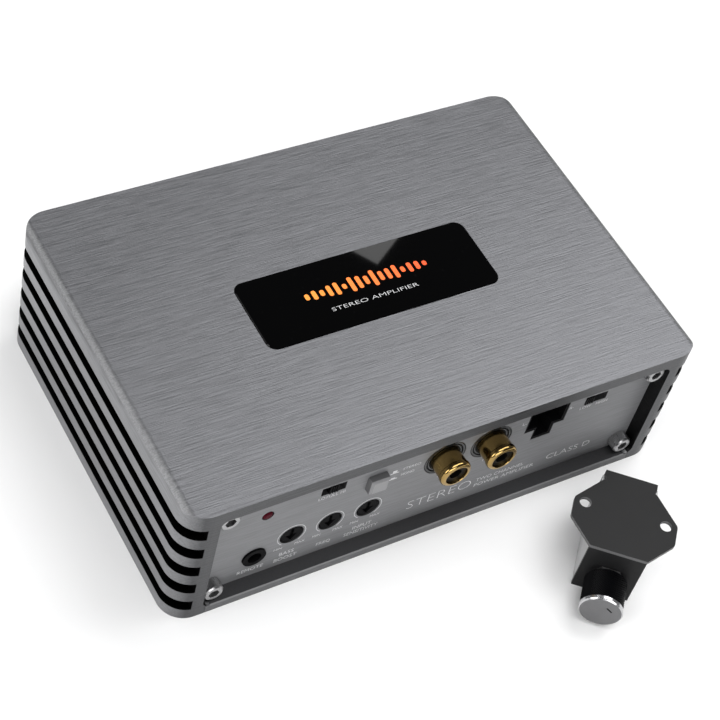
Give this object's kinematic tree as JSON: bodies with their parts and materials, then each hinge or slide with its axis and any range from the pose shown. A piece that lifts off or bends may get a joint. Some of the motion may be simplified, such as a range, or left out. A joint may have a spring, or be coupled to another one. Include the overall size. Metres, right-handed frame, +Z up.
{
  "type": "car amplifier",
  "caption": "Compact car amplifier in a finned, brushed aluminium housing, with recessed control and terminal panels, pull-out fuse and a separate knob level control.",
  "frame": {"origin": "centre of the amplifier's underside", "axes": "+Z up from the underside to the top; -Y is the control side; +X to the right seen from it"},
  "size_m": [0.14, 0.1457, 0.0415],
  "materials": {
    "housing_anodised": "brushed, grey anodised",
    "base_coated": "satin coat",
    "panel_brushed": "brushed, clear anodised",
    "badge_gloss": "polished",
    "screw_steel": "nickel plated",
    "screw_dark": "black oxide",
    "board_green": "solder mask",
    "turned_brass": "turned",
    "gold_plate": "gold plated, polished",
    "plastic_black": "fine moulded",
    "plastic_grey": "fine moulded",
    "lamp_red": "clear tinted",
    "tinned_pin": "tin plated",
    "copper_wire": "enamelled",
    "ferrite": "sintered",
    "can_sleeve": "shrink sleeve",
    "film_case": "potted case",
    "thermal_sheet": "silicone",
    "bar_aluminium": "milled",
    "fuse_blue": "clear tinted",
    "bracket_black": "satin powder coat",
    "remote_grey": "satin",
    "knob_black": "knurled",
    "knob_silver": "spun, bright bevel"
  },
  "bodies": {
    "amplifier": {"heatsink_housing": "housing_anodised", "base_plate": "base_coated", "front_panel": "panel_brushed", "rear_panel": "panel_brushed", "badge": "badge_gloss", "front_screws": "screw_steel", "rear_screws": "screw_steel", "base_screws": "screw_dark", "main_board": "board_green", "input_board": "board_green", "standoffs": "turned_brass", "board_posts": "turned_brass", "board_screws": "screw_steel", "board_header": "plastic_black", "phono_housing": "plastic_black", "phono_barrels": "gold_plate", "phono_insulators": "plastic_black", "phono_contacts": "gold_plate", "remote_jack": "plastic_black", "lamp_holder": "plastic_black", "power_lamp": "lamp_red", "bass_control": "plastic_grey", "frequency_control": "plastic_grey", "gain_control": "plastic_grey", "crossover_switch": "plastic_black", "input_mode_switch": "plastic_black", "mode_switch": "plastic_black", "level_connector": "plastic_black", "level_pins": "tinned_pin", "power_terminals": "plastic_black", "speaker_terminals": "plastic_black", "terminal_clamps": "turned_brass", "terminal_screws": "screw_steel", "fuse_holder": "plastic_black", "toroid_core": "ferrite", "toroid_winding": "copper_wire", "filter_capacitors": "can_sleeve", "output_chokes": "ferrite", "film_capacitors": "film_case", "thermal_pad": "thermal_sheet", "power_transistors": "plastic_black", "clamp_bar": "bar_aluminium", "clamp_screws": "screw_steel"},
    "bass_dial": {"bass_rotor": "plastic_black"},
    "frequency_dial": {"frequency_rotor": "plastic_black"},
    "gain_dial": {"gain_rotor": "plastic_black"},
    "crossover_lever": {"crossover_slider": "plastic_black"},
    "input_mode_lever": {"input_mode_slider": "plastic_black"},
    "button": {"mode_button": "plastic_grey"},
    "fuse": {"fuse_head": "fuse_blue", "fuse_blades": "tinned_pin"},
    "level_control": {"remote_bracket": "bracket_black", "remote_housing": "remote_grey", "remote_screws": "screw_dark", "remote_potentiometer": "plastic_grey", "remote_nut": "screw_steel", "remote_socket": "plastic_black"},
    "level_knob": {"remote_shaft": "screw_steel", "remote_knob": "knob_black", "remote_knob_cap": "knob_silver"}
  },
  "joints": [
    {"name": "bass_turn", "type": "hinge", "parent": "amplifier", "child": "bass_dial", "pos_m": [-0.0382, -0.0395, 0.0145], "axis": [0, -1, 0], "range_deg": [-140, 140]},
    {"name": "frequency_turn", "type": "hinge", "parent": "amplifier", "child": "frequency_dial", "pos_m": [-0.0279, -0.0395, 0.0145], "axis": [0, -1, 0], "range_deg": [-140, 140]},
    {"name": "gain_turn", "type": "hinge", "parent": "amplifier", "child": "gain_dial", "pos_m": [-0.0176, -0.0395, 0.0145], "axis": [0, -1, 0], "range_deg": [-140, 140]},
    {"name": "crossover_slide", "type": "slide", "parent": "amplifier", "child": "crossover_lever", "axis": [1, 0, 0], "range_m": [-0.00195, 0.00195]},
    {"name": "input_mode_slide", "type": "slide", "parent": "amplifier", "child": "input_mode_lever", "axis": [1, 0, 0], "range_m": [0, 0.0039]},
    {"name": "mode_press", "type": "slide", "parent": "amplifier", "child": "button", "axis": [0, 1, 0], "range_m": [0, 0.0015], "stiffness_N_per_m": 400},
    {"name": "fuse_pull", "type": "slide", "parent": "amplifier", "child": "fuse", "axis": [0, 1, 0], "range_m": [0, 0.03]},
    {"name": "level_control_lift", "type": "slide", "parent": "amplifier", "child": "level_control", "axis": [0, 0, 1], "range_m": [0, 0.1]},
    {"name": "level_turn", "type": "hinge", "parent": "level_control", "child": "level_knob", "pos_m": [0.0396, -0.0699, 0.0064], "axis": [-0.6691, -0.7431, 0], "range_deg": [-140, 140]}
  ]
}
